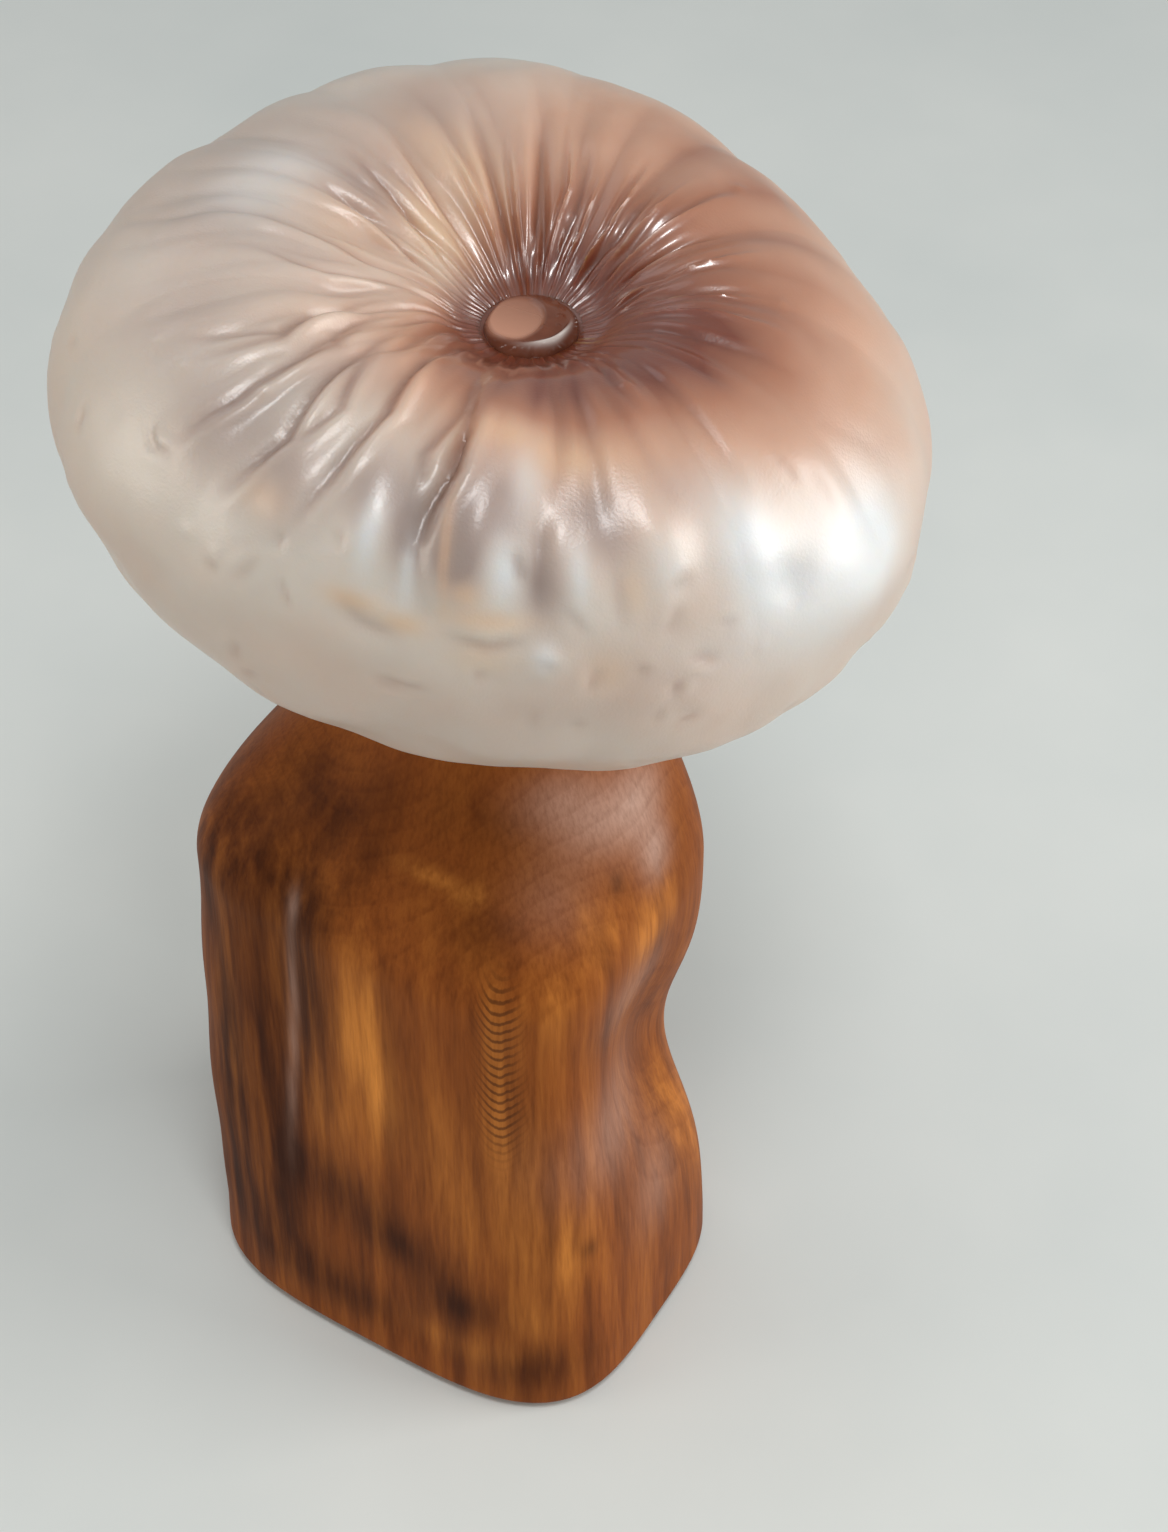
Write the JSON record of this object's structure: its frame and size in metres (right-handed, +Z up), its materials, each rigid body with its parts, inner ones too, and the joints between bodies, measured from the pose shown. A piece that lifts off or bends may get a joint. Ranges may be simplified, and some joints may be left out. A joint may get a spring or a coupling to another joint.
{
  "type": "glass cap on carved wood stand",
  "caption": "Mushroom-shaped table piece: a pleated satin-glass cap gathered at a button, resting on a pin in a carved, stained softwood block.",
  "frame": {"origin": "on the floor, in the resting face of the felt's plane, under the axis of the pin that carries the cap", "axes": "+Z up along the pin; X along the long side of the block; the picture is taken from the +X, -Y side"},
  "size_m": [0.23, 0.2243, 0.434],
  "materials": {
    "stained_wood": "satin",
    "felt": "matte",
    "zinc_steel": "satin",
    "turned_brass": "satin",
    "cork": "matte",
    "plain_beech": "satin",
    "clear_silicone": "satin",
    "satin_glass": "satin",
    "rose_glass": "gloss"
  },
  "bodies": {
    "base": {"wood_body": "stained_wood", "base_felt": "felt", "tie_rod": "zinc_steel", "rod_nut": "zinc_steel", "rod_washer": "zinc_steel", "seat_plate": "turned_brass", "pin": "turned_brass"},
    "ring": {"cork_ring": "cork"},
    "cap": {"glass_cap": "satin_glass", "glass_button": "rose_glass", "neck_plug": "plain_beech", "bond_ring": "clear_silicone"}
  },
  "joints": [
    {"name": "cap_lift", "type": "slide", "parent": "base", "child": "ring", "axis": [0, 0, 1], "range_m": [0, 0.07]},
    {"name": "cap_turn", "type": "hinge", "parent": "ring", "child": "cap", "pos_m": [0, 0, 0.33], "axis": [0, 0, 1], "continuous": true}
  ]
}
